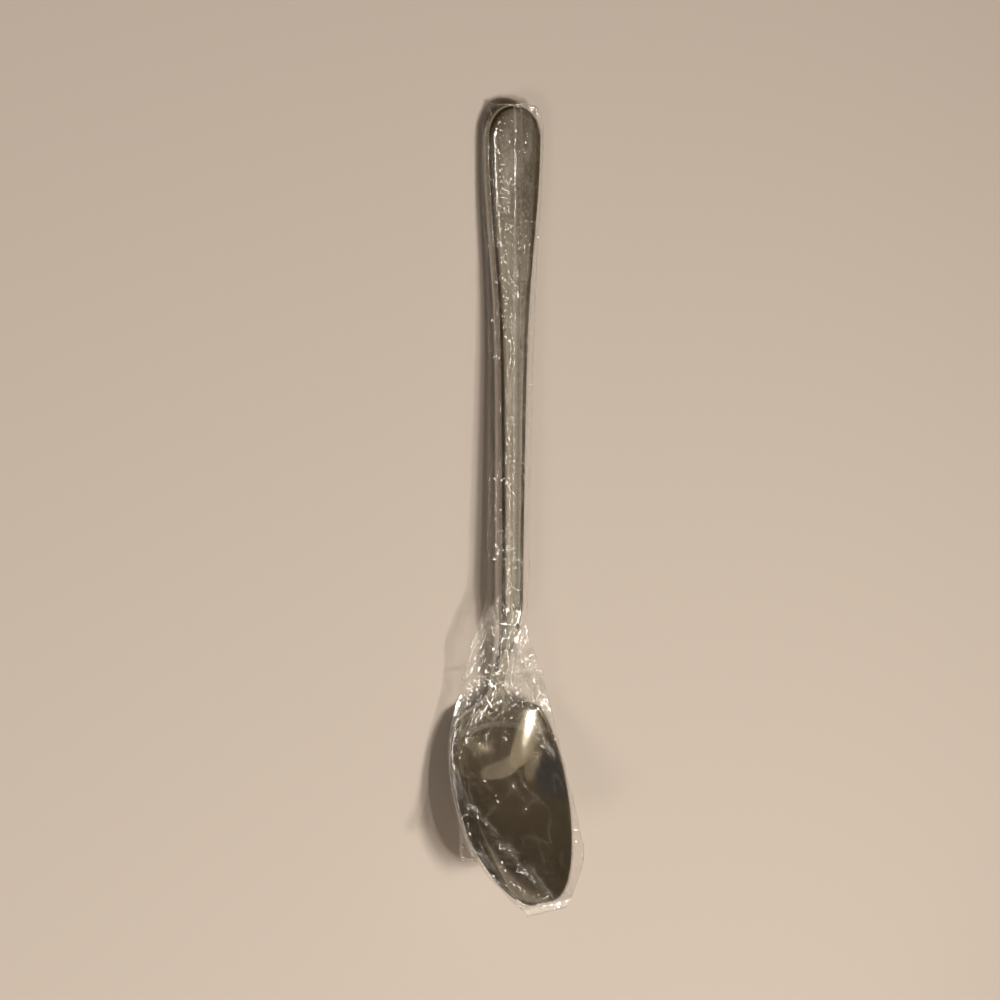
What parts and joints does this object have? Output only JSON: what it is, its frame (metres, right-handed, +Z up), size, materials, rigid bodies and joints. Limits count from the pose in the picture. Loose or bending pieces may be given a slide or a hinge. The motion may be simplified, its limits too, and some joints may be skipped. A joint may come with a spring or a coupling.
{
  "type": "serving spoon",
  "caption": "Long serving spoon with an egg-shaped bowl, slim neck and flared hollow handle, inside a clear film sleeve that is drawn in at the neck and pulls off.",
  "frame": {"origin": "centre of the bounding box in plan, on the plane that the sleeve's underside rests on", "axes": "+X along the spoon from the bowl's tip to the handle's end, +Y across it, +Z up out of the bowl's hollow"},
  "size_m": [0.304, 0.0628, 0.0383],
  "materials": {
    "polished_steel": "mirror polished stainless steel with fine hairline scratches",
    "cement": "matt cast resin cement",
    "clear_film": "thin clear glossy film with creases"
  },
  "bodies": {
    "spoon": {"bowl": "polished_steel", "handle_front_shell": "polished_steel", "handle_back_shell": "polished_steel", "handle_filler": "cement"},
    "sleeve": {"film_sleeve": "clear_film"}
  },
  "joints": [
    {"name": "sleeve_pull", "type": "slide", "parent": "spoon", "child": "sleeve", "axis": [-1, 0, 0], "range_m": [0, 0.32], "deforming": ["film_sleeve"]}
  ]
}
